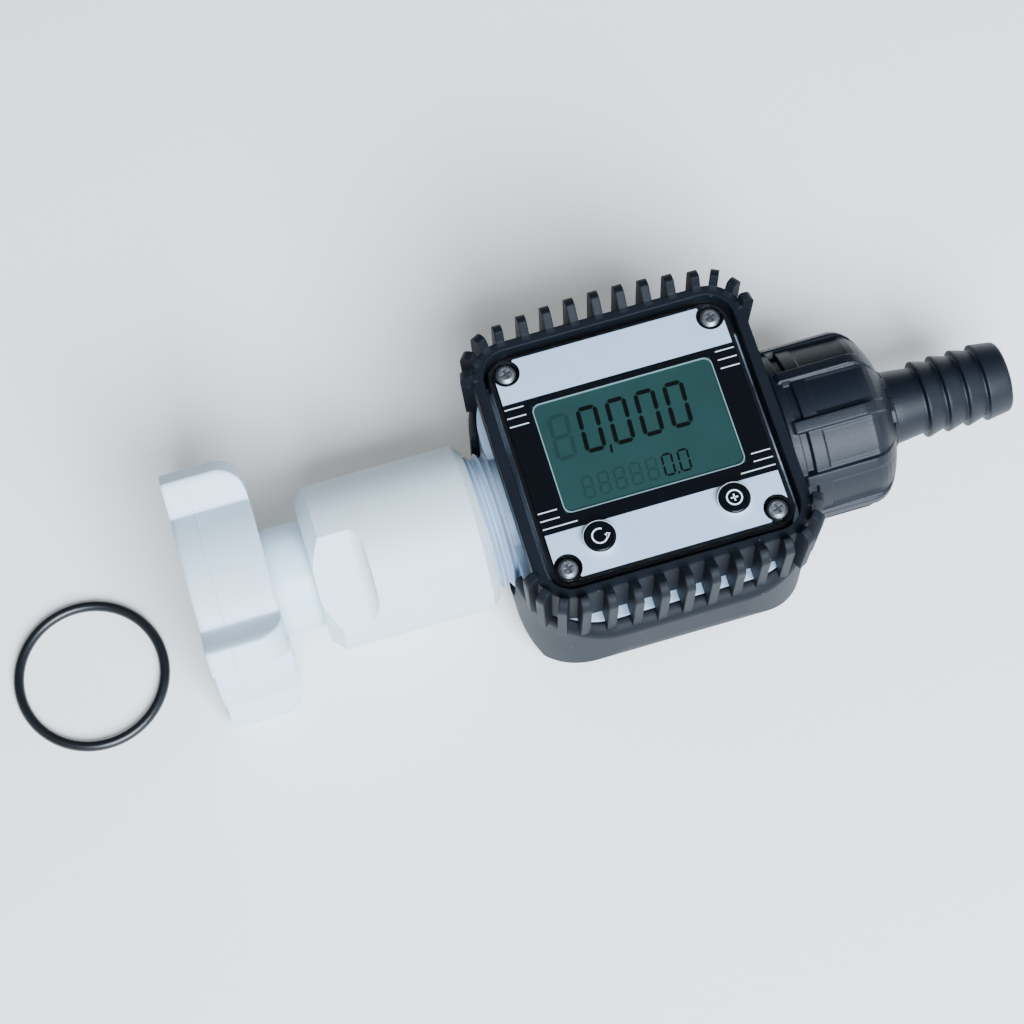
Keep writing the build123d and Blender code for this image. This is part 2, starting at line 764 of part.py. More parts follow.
def loose_seal():
    """Spare round seal that lies flat on the surface beside the inlet."""
    section = RegularPolygon(loose_ring_section / 2, loose_ring_sides)
    ring = revolve(Plane.XZ * Pos(loose_ring_mean_d / 2, 0) * section, Axis.Z)
    return Pos(loose_ring_x, loose_ring_y, loose_ring_section / 2 - axis_height) * ring


write("rubber_guard", guard())
write("meter_body", meter_body())
write("turbine_rotor", rotor())
write("rotor_shaft", rod(shaft_d, -shaft_half_length, shaft_half_length))
write("rotor_magnets", rotor_magnets())
write("inlet_straightener", straightener(-1))
write("outlet_straightener", straightener(1))
write("inlet_bush", bush(-1))
write("outlet_bush", bush(1))
write("inlet_retaining_ring", retaining_ring(-1))
write("outlet_retaining_ring", retaining_ring(1))
write("head_case", head_case())
write("cover_gasket", cover_gasket())
write("clear_cover", clear_cover())
write("facia_panel", facia_panel())
write("face_screws", face_screws())
write("lcd_display", lcd_display())
write("circuit_board", circuit_board())
write("left_key", key(-1))
write("right_key", key(1))
write("left_key_switch", key_switch(-1))
write("right_key_switch", key_switch(1))
write("upper_cell", cell(1))
write("lower_cell", cell(-1))
write("cell_contacts", cell_contacts())
write("pickup_sensor", pickup_sensor())
write("swivel_nut", swivel_nut())
write("swivel_tail", swivel_tail())
write("nut_washer", nut_washer_ring())
write("thread_adapter", thread_adapter())
write("adapter_seal", adapter_seal_ring())
write("union_nut", union_nut())
write("union_seal", union_seal_ring())
write("hose_tail", hose_tail())
write("loose_seal", loose_seal())
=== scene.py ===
# %% [markdown]
# # A turbine flow meter, dressed for the camera
# The solids come from a CAD model that is already in place, in metres, and its parts ride on moving bodies.
# This lesson keeps the solids whose shape is right, gives every surface the finish of its real material, and
# replaces a few solids by finer surfaces, such as the moulded nuts, the barbed hose tail and the threads.

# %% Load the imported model
import math

import bpy
import numpy as np
from mathutils import Matrix


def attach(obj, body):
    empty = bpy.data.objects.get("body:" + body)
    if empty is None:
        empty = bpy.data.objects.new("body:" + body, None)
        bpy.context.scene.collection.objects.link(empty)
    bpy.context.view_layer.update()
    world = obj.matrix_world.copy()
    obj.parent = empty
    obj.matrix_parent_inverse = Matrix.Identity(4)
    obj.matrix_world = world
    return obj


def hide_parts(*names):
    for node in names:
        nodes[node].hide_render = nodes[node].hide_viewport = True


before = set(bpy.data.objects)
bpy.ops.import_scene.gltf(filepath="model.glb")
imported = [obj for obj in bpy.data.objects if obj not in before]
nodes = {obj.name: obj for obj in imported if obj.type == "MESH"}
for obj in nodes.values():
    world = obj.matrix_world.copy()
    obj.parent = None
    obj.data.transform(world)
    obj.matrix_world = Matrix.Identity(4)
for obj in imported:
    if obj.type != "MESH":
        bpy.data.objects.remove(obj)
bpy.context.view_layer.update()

# %% [markdown]
# ## Units and the pipe axis
# Blender counts in metres, and small parts are easier to read in millimetres. So every shape below is worked
# out in millimetres, with X along the pipe, and one function turns it to metres when the mesh is made.
# The pipe's axis lies at a known height over the surface that the meter lies on.

# %% Units
MM = 0.001
AXIS = 25.4
FACE = AXIS + 25.5           # the underside of the clear cover, over the floor
print("pipe axis at", AXIS, "mm, face at", FACE, "mm")

# %% [markdown]
# ## From a grid of points to a mesh
# Most moulded and turned parts are a surface of two parameters: how far along, and how far round. If the
# points are a grid, the faces follow by rule: each square joins four neighbours. The columns always close
# into a loop, and the rows can. The signed volume tells whether the faces point outwards, and if they don't,
# they are turned.

# %% A mesh from a grid
def signed_volume(mesh):
    """Sum over all triangles of the scalar triple product of their corners, divided by six."""
    mesh.calc_loop_triangles()
    points = np.zeros(len(mesh.vertices) * 3)
    mesh.vertices.foreach_get("co", points)
    corners = np.zeros(len(mesh.loop_triangles) * 3, dtype=np.int32)
    mesh.loop_triangles.foreach_get("vertices", corners)
    a, b, c = points.reshape(-1, 3)[corners.reshape(-1, 3)].transpose(1, 0, 2)
    return float((a * np.cross(b, c)).sum() / 6)


def grid_piece(name, grid, close_rows=False, caps=False, smooth=True):
    """One quad between each four neighbours of a grid of shape (rows, columns, 3), given in millimetres.
    close_rows joins the last row to the first, and caps closes each of the two with one face."""
    rows, columns = grid.shape[:2]
    index = np.arange(rows * columns).reshape(rows, columns)
    if close_rows:
        index = np.vstack([index, index[:1]])
    index = np.hstack([index, index[:, :1]])
    quads = np.stack([index[:-1, :-1], index[1:, :-1], index[1:, 1:], index[:-1, 1:]], axis=-1)
    faces = quads.reshape(-1, 4).tolist()
    if caps:
        faces.append(index[0, :columns].tolist())
        faces.append(index[rows - 1, :columns][::-1].tolist())
    mesh = bpy.data.meshes.new(name)
    mesh.from_pydata((grid.reshape(-1, 3) * MM).tolist(), [], faces)
    mesh.update()
    if signed_volume(mesh) < 0:
        mesh.flip_normals()
    mesh.polygons.foreach_set("use_smooth", np.full(len(mesh.polygons), smooth))
    piece = bpy.data.objects.new(name, mesh)
    bpy.context.scene.collection.objects.link(piece)
    print(name, len(faces), "faces", round(signed_volume(mesh) * 1e9, 1), "mm3")
    return piece


# %% [markdown]
# ## Rounded corners on a profile
# Nothing that is moulded or turned has a knife edge, and the small round is what catches the light. Each
# corner of a profile is swapped for a short curve: its two ends lie back along the two sides, and the curve
# between them is the quadratic one that the corner pulls on. A lathe piece then carries the profile round
# the pipe axis.

# %% Profiles and lathe pieces
NEAR_HALF = 0.49             # an ease takes at most this share of a side, so that two eases never meet
LATHE_COUNT = 144            # faces once round a lathe piece


def rounded(corners, size, steps=4):
    """Closed profile whose corners are eased. A point of the ease is (1-t)^2 A + 2t(1-t) corner + t^2 B,
    where A and B lie on the two sides at the given size from the corner, or less where a side is short."""
    corners = np.asarray(corners, float)
    size = np.broadcast_to(np.asarray(size, float), len(corners))
    before = np.roll(corners, 1, 0) - corners
    after = np.roll(corners, -1, 0) - corners
    length_before = np.linalg.norm(before, axis=1)
    length_after = np.linalg.norm(after, axis=1)
    back = np.minimum(size, NEAR_HALF * np.minimum(length_before, length_after))
    start = corners + before / length_before[:, None] * back[:, None]
    end = corners + after / length_after[:, None] * back[:, None]
    t = np.linspace(0, 1, steps + 1)[None, :, None]
    curve = (1 - t) ** 2 * start[:, None] + 2 * t * (1 - t) * corners[:, None] + t ** 2 * end[:, None]
    return curve.reshape(-1, 2)


def around(x, radius, angle):
    """Points about the pipe axis: Y is minus radius times sine, Z is the axis plus radius times cosine."""
    x, radius, angle = np.broadcast_arrays(x, radius, angle)
    return np.stack([x, -radius * np.sin(angle), AXIS + radius * np.cos(angle)], axis=-1)


def lathe_piece(name, profile):
    """The closed profile of (x, radius) pairs, carried once round the pipe axis."""
    angle = np.linspace(0, 2 * math.pi, LATHE_COUNT, endpoint=False)
    grid = around(profile[:, :1], profile[:, 1:], angle[None, :])
    return grid_piece(name, grid, close_rows=True)


def smoothstep(value, low, high):
    """0 below low, 1 above high, and 3s^2 - 2s^3 between, so that both ends leave with no corner."""
    s = np.clip((value - low) / (high - low), 0, 1)
    return s * s * (3 - 2 * s)


print("rounded square has", len(rounded([(0, 0), (1, 0), (1, 1), (0, 1)], 0.2)), "points")

# %% [markdown]
# ## Materials from nodes
# Colours are read off real things as sRGB hex values, but the renderer counts in linear light, so one
# function converts them. One more function adds a node with its settings and links. Every material is then a
# short recipe that starts at the object's own coordinates, in metres, so that a pattern keeps its real size.

# %% Colour and node helpers
def hex_colour(text):
    """sRGB hex to linear light: v/12.92 up to 0.04045, and ((v + 0.055) / 1.055)^2.4 above. Alpha is 1."""
    value = np.array([int(text[i:i + 2], 16) for i in (1, 3, 5)]) / 255
    linear = np.where(value <= 0.04045, value / 12.92, ((value + 0.055) / 1.055) ** 2.4)
    return (*linear.tolist(), 1.0)


def add(tree, kind, links=None, **settings):
    """One node. Settings are its own properties, links gives an input a value or another node's output."""
    made = tree.nodes.new(kind)
    for key, value in settings.items():
        setattr(made, key, value)
    for key, value in (links or {}).items():
        if isinstance(value, bpy.types.NodeSocket):
            tree.links.new(value, made.inputs[key])
        else:
            made.inputs[key].default_value = value
    return made


def new_material(name):
    """Empty node tree with the object coordinates and an output."""
    material = bpy.data.materials.new(name)
    material.use_nodes = True
    tree = material.node_tree
    tree.nodes.clear()
    place = add(tree, "ShaderNodeTexCoord").outputs["Object"]
    output = add(tree, "ShaderNodeOutputMaterial")
    return material, tree, place, output


def blend_colours(tree, factor, first, second):
    """Colour mix of two hex colours by a factor output."""
    mixed = add(tree, "ShaderNodeMix", {"Factor": factor}, data_type="RGBA")
    mixed.inputs[6].default_value = hex_colour(first)
    mixed.inputs[7].default_value = hex_colour(second)
    return mixed.outputs[2]


print("mid grey in linear light:", round(hex_colour("#808080")[0], 4))

# %% [markdown]
# ## Moulded plastics and rubber
# Moulded plastic copies its tool: a very fine even grain, a slow drift of tone where it cooled, and soft
# edges. The grain comes from a noise texture whose size is a real size in millimetres, and the edges from
# the Bevel node, which turns the normal near a corner as if it had been eased by that radius.
# Rubber is the same recipe, rougher and darker, with a few specks of dust that it always holds on to.

# %% Moulded surfaces
DRIFT_MM = 25                # the tone of a moulding drifts over about this length
SPECK_MM = 2.6               # spacing of dust specks
SPECK_EDGE = 0.085           # a speck ends at this distance from the middle of its cell,
SPECK_CORE = 0.05            # and is at its strongest within this one, both as a share of the spacing
SPECK_STRENGTH = 0.55
PATCH_MM = 9                 # size of the patches that hold dust
LIGHT_REACH_MM = 2           # how far light enters an unpigmented plastic


def moulded(name, colour, drift_colour, roughness, grain_mm, grain_depth, edge_mm, ior=1.49, specks=None,
            coat=0.0, subsurface=0.0):
    """Principled surface: colour drifts, roughness varies, and grain and eased edges bend the normal.
    specks is a hex colour for dust, which covers the middle of some cells of a cell texture."""
    material, tree, place, output = new_material(name)
    slow = add(tree, "ShaderNodeTexNoise", {"Vector": place, "Scale": 1 / (DRIFT_MM * MM), "Detail": 3.0})
    colour_out = blend_colours(tree, slow.outputs["Fac"], colour, drift_colour)
    if specks:
        cells = add(tree, "ShaderNodeTexVoronoi", {"Vector": place, "Scale": 1 / (SPECK_MM * MM)})
        near = add(tree, "ShaderNodeMapRange", {
            "Value": cells.outputs["Distance"], "From Min": SPECK_EDGE, "From Max": SPECK_CORE,
            "To Min": 0.0, "To Max": SPECK_STRENGTH})
        some = add(tree, "ShaderNodeTexNoise", {
            "Vector": place, "Scale": 1 / (PATCH_MM * MM), "Detail": 2.0})
        where = add(tree, "ShaderNodeMapRange", {
            "Value": some.outputs["Fac"], "From Min": 0.52, "From Max": 0.6})
        amount = add(tree, "ShaderNodeMath", {0: near.outputs["Result"], 1: where.outputs["Result"]},
                     operation="MULTIPLY")
        dusted = add(tree, "ShaderNodeMix", {"Factor": amount.outputs[0]}, data_type="RGBA")
        tree.links.new(colour_out, dusted.inputs[6])
        dusted.inputs[7].default_value = hex_colour(specks)
        colour_out = dusted.outputs[2]
    rough = add(tree, "ShaderNodeMapRange", {"Value": slow.outputs["Fac"], "To Min": roughness - 0.05,
                                             "To Max": roughness + 0.05})
    grain = add(tree, "ShaderNodeTexNoise", {"Vector": place, "Scale": 1 / (grain_mm * MM), "Detail": 4.0})
    eased = add(tree, "ShaderNodeBevel", {"Radius": edge_mm * MM}, samples=6)
    bump = add(tree, "ShaderNodeBump", {"Height": grain.outputs["Fac"], "Distance": grain_depth * MM,
                                        "Normal": eased.outputs["Normal"]})
    surface = add(tree, "ShaderNodeBsdfPrincipled", {
        "Base Color": colour_out, "Roughness": rough.outputs["Result"], "Normal": bump.outputs["Normal"],
        "IOR": ior, "Coat Weight": coat, "Subsurface Weight": subsurface,
        "Subsurface Scale": LIGHT_REACH_MM * MM})
    tree.links.new(surface.outputs[0], output.inputs["Surface"])
    return material


# Thermoplastic rubber, moulded: matt, blue grey where it faces the light, and it holds dust.
guard_rubber = moulded("moulded_rubber", "#0f1318", "#14181f", 0.55, 0.35, 0.03, 0.6, ior=1.25,
                       specks="#8f959c")
# Nitrile rubber, moulded round seals: smooth and darker.
seal_rubber = moulded("nitrile_seal", "#0e0f12", "#15171b", 0.34, 0.25, 0.01, 0.2, ior=1.52)
# Polypropylene, moulded, unpigmented: a blue white that light enters a little.
body_plastic = moulded("white_polypropylene", "#acc3db", "#b5cadf", 0.38, 0.5, 0.02, 0.3, subsurface=0.15)
# Acetal, moulded white: brighter, with a satin grain from a spark-eroded tool.
nut_plastic = moulded("white_acetal", "#cde0ec", "#d4e6f0", 0.42, 0.45, 0.035, 0.25, subsurface=0.05)
# Glass filled nylon, moulded black: satin, with a cool sheen.
black_nylon = moulded("black_nylon", "#080d15", "#0d141e", 0.47, 0.4, 0.05, 0.4, ior=1.4)
# ABS, moulded black: the case inside the guard.
case_abs = moulded("black_abs", "#0c0e12", "#111419", 0.36, 0.3, 0.02, 0.3, ior=1.54)
# PBT, moulded grey black, for wheels and vanes that run in liquid.
wheel_plastic = moulded("wheel_plastic", "#1d1f23", "#25282d", 0.4, 0.3, 0.02, 0.15)
# Alumina ceramic, ground: hard and pale.
bush_ceramic = moulded("ground_alumina", "#e4dfd4", "#ece8de", 0.25, 0.2, 0.004, 0.1, ior=1.76)
# Epoxy and glass laminate with black lacquer, so that nothing shines green through the clear rim.
board_laminate = moulded("black_laminate", "#0b0f0e", "#101514", 0.3, 0.4, 0.01, 0.1, ior=1.55, coat=0.4)
# Nylon switch body.
switch_plastic = moulded("switch_nylon", "#131417", "#1a1b1f", 0.45, 0.3, 0.01, 0.1)
# Printed sleeve over a zinc can.
cell_sleeve = moulded("cell_sleeve", "#3d434d", "#474e5a", 0.3, 0.5, 0.005, 0.2, coat=0.5)
print("moulded materials:", len(bpy.data.materials))

# %% [markdown]
# ## Turned plastic
# The adapter is cut from a bar of cream polyamide on a lathe, and its two flats are milled. A turning tool
# leaves a spiral of fine steps along the axis, so its bump is a wave along X. Its real pitch of about
# 0.15 mm is too fine for the picture, and 0.45 mm is drawn instead.

# %% Turned surface
def turned(name, colour, drift_colour, roughness, feed_mm, depth_mm):
    """Principled surface with bands along X every feed_mm, for tool marks, and a slow drift of tone."""
    material, tree, place, output = new_material(name)
    slow = add(tree, "ShaderNodeTexNoise", {"Vector": place, "Scale": 1 / (18 * MM), "Detail": 4.0})
    colour_out = blend_colours(tree, slow.outputs["Fac"], colour, drift_colour)
    # A wave texture makes its bands at 20 times its scale over two pi, hence the factor.
    bands = add(tree, "ShaderNodeTexWave", {"Vector": place, "Scale": 2 * math.pi / 20 / (feed_mm * MM),
                                            "Distortion": 0.6, "Detail": 2.0}, bands_direction="X")
    grain = add(tree, "ShaderNodeTexNoise", {"Vector": place, "Scale": 1 / (0.6 * MM), "Detail": 3.0})
    both = add(tree, "ShaderNodeMath", {0: bands.outputs["Fac"], 1: grain.outputs["Fac"]}, operation="ADD")
    eased = add(tree, "ShaderNodeBevel", {"Radius": 0.12 * MM}, samples=6)
    bump = add(tree, "ShaderNodeBump", {"Height": both.outputs[0], "Distance": depth_mm * MM,
                                        "Normal": eased.outputs["Normal"]})
    surface = add(tree, "ShaderNodeBsdfPrincipled", {
        "Base Color": colour_out, "Roughness": roughness, "Normal": bump.outputs["Normal"], "IOR": 1.53,
        "Subsurface Weight": 0.12, "Subsurface Scale": LIGHT_REACH_MM * MM})
    tree.links.new(surface.outputs[0], output.inputs["Surface"])
    return material


cream_polyamide = turned("turned_polyamide", "#cfdee3", "#d7e5e7", 0.5, 0.45, 0.012)
print("turned material:", cream_polyamide.name)

# %% [markdown]
# ## Metals
# Metal keeps the default index of refraction and gets metallic 1. Screws are zinc plated and a little dull,
# with painted shade in the recess, and springs and rings are plain stainless strip.

# %% Metal surfaces
def metal(name, colour, drift_colour, roughness, grain_mm):
    """Metallic surface whose roughness and tone vary with a fine noise."""
    material, tree, place, output = new_material(name)
    noise = add(tree, "ShaderNodeTexNoise", {"Vector": place, "Scale": 1 / (grain_mm * MM), "Detail": 5.0})
    colour_out = blend_colours(tree, noise.outputs["Fac"], colour, drift_colour)
    rough = add(tree, "ShaderNodeMapRange", {"Value": noise.outputs["Fac"], "To Min": roughness - 0.08,
                                             "To Max": roughness + 0.1})
    eased = add(tree, "ShaderNodeBevel", {"Radius": 0.12 * MM}, samples=6)
    surface = add(tree, "ShaderNodeBsdfPrincipled", {
        "Base Color": colour_out, "Metallic": 1.0, "Roughness": rough.outputs["Result"],
        "Normal": eased.outputs["Normal"]})
    tree.links.new(surface.outputs[0], output.inputs["Surface"])
    return material


screw_zinc = metal("zinc_plated_screw", "#8d9196", "#c9ccd0", 0.4, 0.5)
plain_steel = metal("stainless_strip", "#a9abad", "#bfc1c3", 0.3, 0.3)
magnet_nickel = metal("nickel_plate", "#b9b6ae", "#c9c6bf", 0.15, 0.4)
print("metals ready")

# %% [markdown]
# ## The display face: clear cover, printed film, liquid crystal
# The cover is clear acrylic: 96 % of the light goes straight through a face that is seen square on, and 4 %
# is mirrored. At a slant the mirrored share grows with the fifth power of one minus the cosine of the slant.
# A transparent and a glossy shader are mixed by that share, which is the same from both sides of a face, so
# light from a low lamp still reaches the print below. A refraction node would hold that light back inside
# the cover. The printed film under it is black with silver bands, and the display is a grey green layer.

# %% Face materials
SQUARE_SHARE = 0.04          # what clear acrylic mirrors when it is seen square on
clear_acrylic, tree, place, output = new_material("clear_acrylic")
slant = add(tree, "ShaderNodeLayerWeight", {"Blend": 0.5})
steep = add(tree, "ShaderNodeMath", {0: slant.outputs["Facing"], 1: 5.0}, operation="POWER")
share = add(tree, "ShaderNodeMath", {0: steep.outputs[0], 1: 1 - SQUARE_SHARE, 2: SQUARE_SHARE},
            operation="MULTIPLY_ADD")
smears = add(tree, "ShaderNodeTexNoise", {"Vector": place, "Scale": 1 / (12 * MM), "Detail": 5.0})
polish = add(tree, "ShaderNodeMapRange", {"Value": smears.outputs["Fac"], "To Min": 0.04, "To Max": 0.12})
through = add(tree, "ShaderNodeBsdfTransparent", {"Color": hex_colour("#fdfefe")})
mirror = add(tree, "ShaderNodeBsdfAnisotropic", {"Roughness": polish.outputs["Result"]})
cover = add(tree, "ShaderNodeMixShader", {0: share.outputs[0], 1: through.outputs[0], 2: mirror.outputs[0]})
tree.links.new(cover.outputs[0], output.inputs["Surface"])


def printed(name, colour, drift_colour, roughness, metallic, grain_mm, depth_mm, ior=1.45):
    """Ink or foil on film: tone drifts slowly, and a fine grain makes the print slightly uneven.
    Ink that is bonded to the back of a clear film mirrors little, so its ior comes close to 1."""
    material, tree, place, output = new_material(name)
    slow = add(tree, "ShaderNodeTexNoise", {"Vector": place, "Scale": 1 / (14 * MM), "Detail": 3.0})
    colour_out = blend_colours(tree, slow.outputs["Fac"], colour, drift_colour)
    grain = add(tree, "ShaderNodeTexNoise", {"Vector": place, "Scale": 1 / (grain_mm * MM), "Detail": 2.0})
    bump = add(tree, "ShaderNodeBump", {"Height": grain.outputs["Fac"], "Distance": depth_mm * MM})
    surface = add(tree, "ShaderNodeBsdfPrincipled", {
        "Base Color": colour_out, "Roughness": roughness, "Metallic": metallic, "IOR": ior,
        "Normal": bump.outputs["Normal"]})
    tree.links.new(surface.outputs[0], output.inputs["Surface"])
    return material


film_black = printed("black_print", "#04060a", "#070a10", 0.35, 0.0, 0.2, 0.004, ior=1.15)
film_silver = printed("silver_print", "#b4c9e2", "#bed1e8", 0.5, 0.0, 0.12, 0.006)
film_white = printed("white_print", "#dfe8f0", "#e8eff5", 0.5, 0.0, 0.2, 0.003)
crystal_green = printed("liquid_crystal", "#213a38", "#264240", 0.5, 0.0, 0.25, 0.003, ior=1.15)
segment_black = printed("dark_segment", "#020605", "#040908", 0.5, 0.0, 0.2, 0.002, ior=1.15)
segment_ghost = printed("idle_segment", "#1b3231", "#1f3836", 0.5, 0.0, 0.2, 0.002, ior=1.15)
# Painted highlight: a pale colour for the rim of the display's window.
painted_window_highlight = printed("window_edge", "#7f9c9e", "#94aeb0", 0.3, 0.2, 0.2, 0.003)
key_gloss = moulded("gloss_key", "#04070b", "#080b10", 0.22, 0.3, 0.006, 0.3, ior=1.4)
print("face materials ready")

# %% [markdown]
# ## Give every CAD solid its finish
# A solid whose shape is right stays, and only its material slots change.

# %% Dress the CAD solids
finishes = {
    guard_rubber: ["rubber_guard"],
    seal_rubber: ["cover_gasket", "nut_washer", "adapter_seal", "union_seal", "loose_seal"],
    body_plastic: ["meter_body"],
    nut_plastic: ["swivel_nut", "swivel_tail"],
    cream_polyamide: ["thread_adapter"],
    black_nylon: ["union_nut", "hose_tail", "pickup_sensor"],
    case_abs: ["head_case"],
    clear_acrylic: ["clear_cover"],
    film_black: ["facia_panel"],
    crystal_green: ["lcd_display"],
    key_gloss: ["left_key", "right_key"],
    board_laminate: ["circuit_board"],
    switch_plastic: ["left_key_switch", "right_key_switch"],
    screw_zinc: ["face_screws"],
    plain_steel: ["rotor_shaft", "cell_contacts", "inlet_retaining_ring", "outlet_retaining_ring"],
    cell_sleeve: ["upper_cell", "lower_cell"],
    wheel_plastic: ["turbine_rotor", "inlet_straightener", "outlet_straightener"],
    bush_ceramic: ["inlet_bush", "outlet_bush"],
    magnet_nickel: ["rotor_magnets"],
}
for finish, names in finishes.items():
    for name in names:
        nodes[name].data.materials.clear()
        nodes[name].data.materials.append(finish)
undressed = set(nodes) - {name for names in finishes.values() for name in names}
print("dressed", sum(map(len, finishes.values())), "nodes, left out:", sorted(undressed))


def finish_piece(piece, body, material):
    """A new piece rides on a body, and takes its slot and its material."""
    piece.data.materials.append(material)
    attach(piece, body)
    return piece


# %% [markdown]
# ## Swivel nut
# The nut is one moulding: a round body with four lugs for the fingers. Seen along the pipe its outline is a
# radius that depends on the angle, and towards the back each lug's shoulder rounds off. So the whole outside
# is one function of place and angle. A thin raised line runs round it where the two halves of the mould met,
# and inside the mouth runs a coarse thread, which is the same kind of function again.

# %% Swivel nut surface
NUT_MOUTH = -109.0
NUT_BACK = -90.3
NUT_WALL = 4.0
NUT_BODY_RADIUS = 25.2
LUG_RADIUS = 33.3
LUG_TIP_ANGLE = math.radians(4.65)
LUG_ROOT_ANGLE = math.radians(9.95)
LUG_SHOULDER = 6.5
LUG_TURN = math.radians(45)
NUT_BORE_RADIUS = 23.9
NUT_THREAD_DEPTH = 1.4
NUT_THREAD_END = -99.6
NUT_RELIEF_START = -99.5     # behind the thread
NUT_HOLE_RADIUS = 13.15      # the tail goes through it
PIPE_PITCH = 2.309
PARTING_LINE = -103.0
LINE_HEIGHT = 0.16
LINE_WIDTH = 0.15
TURN_COUNT = 720             # points once round a nut


def lug_outline(angle):
    """Radius of the nut's outline: the body's, plus the lug's height times an eased ramp of the angle."""
    off = np.abs((angle - LUG_TURN + math.pi / 4) % (math.pi / 2) - math.pi / 4)
    ramp = smoothstep(-off, -LUG_ROOT_ANGLE - 0.02, -LUG_TIP_ANGLE)
    return NUT_BODY_RADIUS + (LUG_RADIUS - NUT_BODY_RADIUS) * ramp


def nut_outside(x, angle):
    """The lug outline, limited near the back by a quarter circle, with eased rims and the parting line."""
    into = np.clip(x - (NUT_BACK - LUG_SHOULDER), 0, LUG_SHOULDER)
    limit = LUG_RADIUS - LUG_SHOULDER + np.sqrt(LUG_SHOULDER ** 2 - into ** 2)
    radius = np.minimum(lug_outline(angle), np.maximum(limit, NUT_BODY_RADIUS))
    radius = radius - 0.5 * smoothstep(x, NUT_BACK - 0.6, NUT_BACK)
    radius = radius - 0.3 * smoothstep(-x, -NUT_MOUTH - 0.3, -NUT_MOUTH)
    return radius + LINE_HEIGHT * np.exp(-((x - PARTING_LINE) / LINE_WIDTH) ** 2)


angle = np.linspace(0, 2 * math.pi, TURN_COUNT, endpoint=False)[None, :]
mouth_rows = [NUT_MOUTH, NUT_MOUTH + 0.1, NUT_MOUTH + 0.2]
line_rows = PARTING_LINE + np.linspace(-0.4, 0.4, 9)
shoulder_rows = NUT_BACK - LUG_SHOULDER + LUG_SHOULDER * np.sin(np.linspace(0, math.pi / 2, 16))
even_rows = np.linspace(NUT_MOUTH + 0.3, NUT_BACK - LUG_SHOULDER, 12)
outer_rows = np.unique(np.concatenate([mouth_rows, even_rows, line_rows, shoulder_rows]))
outside = around(outer_rows[:, None], nut_outside(outer_rows[:, None], angle), angle)
thread_rows = np.linspace(NUT_MOUTH + 0.6, NUT_THREAD_END, 60)
phase = (thread_rows[:, None] / PIPE_PITCH - angle / (2 * math.pi)) % 1
ridge = 1 - np.abs(2 * phase - 1)
fade = smoothstep(thread_rows, NUT_MOUTH + 0.8, NUT_MOUTH + 3.0)[:, None]
depth = NUT_THREAD_DEPTH * fade * smoothstep(ridge, 0.15, 0.85)
inside = around(thread_rows[:, None], NUT_BORE_RADIUS - depth, angle)
back_wall = NUT_BACK - NUT_WALL
ends = [(NUT_BACK, NUT_HOLE_RADIUS + 0.3), (NUT_BACK - 0.3, NUT_HOLE_RADIUS), (back_wall, NUT_HOLE_RADIUS),
        (back_wall, NUT_BORE_RADIUS - 0.4), (back_wall - 0.4, NUT_BORE_RADIUS),
        (NUT_RELIEF_START, NUT_BORE_RADIUS)]
wall = np.concatenate([around(x, np.full_like(angle, radius), angle) for x, radius in ends])
lip = around(NUT_MOUTH, np.full_like(angle, NUT_BORE_RADIUS + 0.7), angle)
nut_grid = np.concatenate([outside, wall, inside[::-1], lip])
nut = grid_piece("swivel_nut_moulding", nut_grid, close_rows=True)
finish_piece(nut, "swivel", nut_plastic)
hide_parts("swivel_nut")

# %% [markdown]
# ## Threads on the stubs
# A pipe thread is a ridge of 55 degrees wound round the stub, one turn every 2.309 mm. Its height at a place
# depends on how far along the turn it is, which is a phase worked out from both the place and the angle. The
# ridge stands on the CAD stub, and fades in at both ends, as the tool runs out.

# %% Stub threads
STUB_ROOT_RADIUS = 15.15
THREAD_CREST_RADIUS = 16.62
STUB_THREADS = {"inlet_thread": (-39.45, -33.9), "outlet_thread": (33.9, 53.8)}      # start and end


def stub_thread(name, start, end):
    """Sleeve round the stub. Its radius follows a rounded saw tooth of the phase x/pitch - angle/turn."""
    rows = np.linspace(start, end, int((end - start) / PIPE_PITCH * 20))
    angle = np.linspace(0, 2 * math.pi, 180, endpoint=False)[None, :]
    phase = (rows[:, None] / PIPE_PITCH - angle / (2 * math.pi) + 0.04) % 1
    ridge = 1 - np.abs(2 * phase - 1)
    tooth = 0.7 * np.clip((ridge - 0.1) / 0.8, 0, 1) + 0.3 * smoothstep(ridge, 0.05, 0.95)
    fade = smoothstep(rows, start, start + 0.3) * (1 - smoothstep(rows, end - 0.3, end))
    low = STUB_ROOT_RADIUS - 0.02
    outer = around(rows[:, None], low + (THREAD_CREST_RADIUS - low) * tooth * fade[:, None], angle)
    inner = around(np.array([[end], [start]]), np.full((2, angle.size), low - 0.5), angle)
    return grid_piece(name, np.concatenate([outer, inner]), close_rows=True)


for name, (start, end) in STUB_THREADS.items():
    finish_piece(stub_thread(name, start, end), "meter", body_plastic)
print("stub threads:", len(STUB_THREADS))

# %% [markdown]
# ## Union nut
# This black nut is a dome with ten thin grip ribs, a ring and a band with a groove between them, and a
# shallow recess between each two ribs. Again its outside is one function: a base profile along the pipe,
# plus the rib's extra height where the angle is near a rib, less the recess where it isn't.

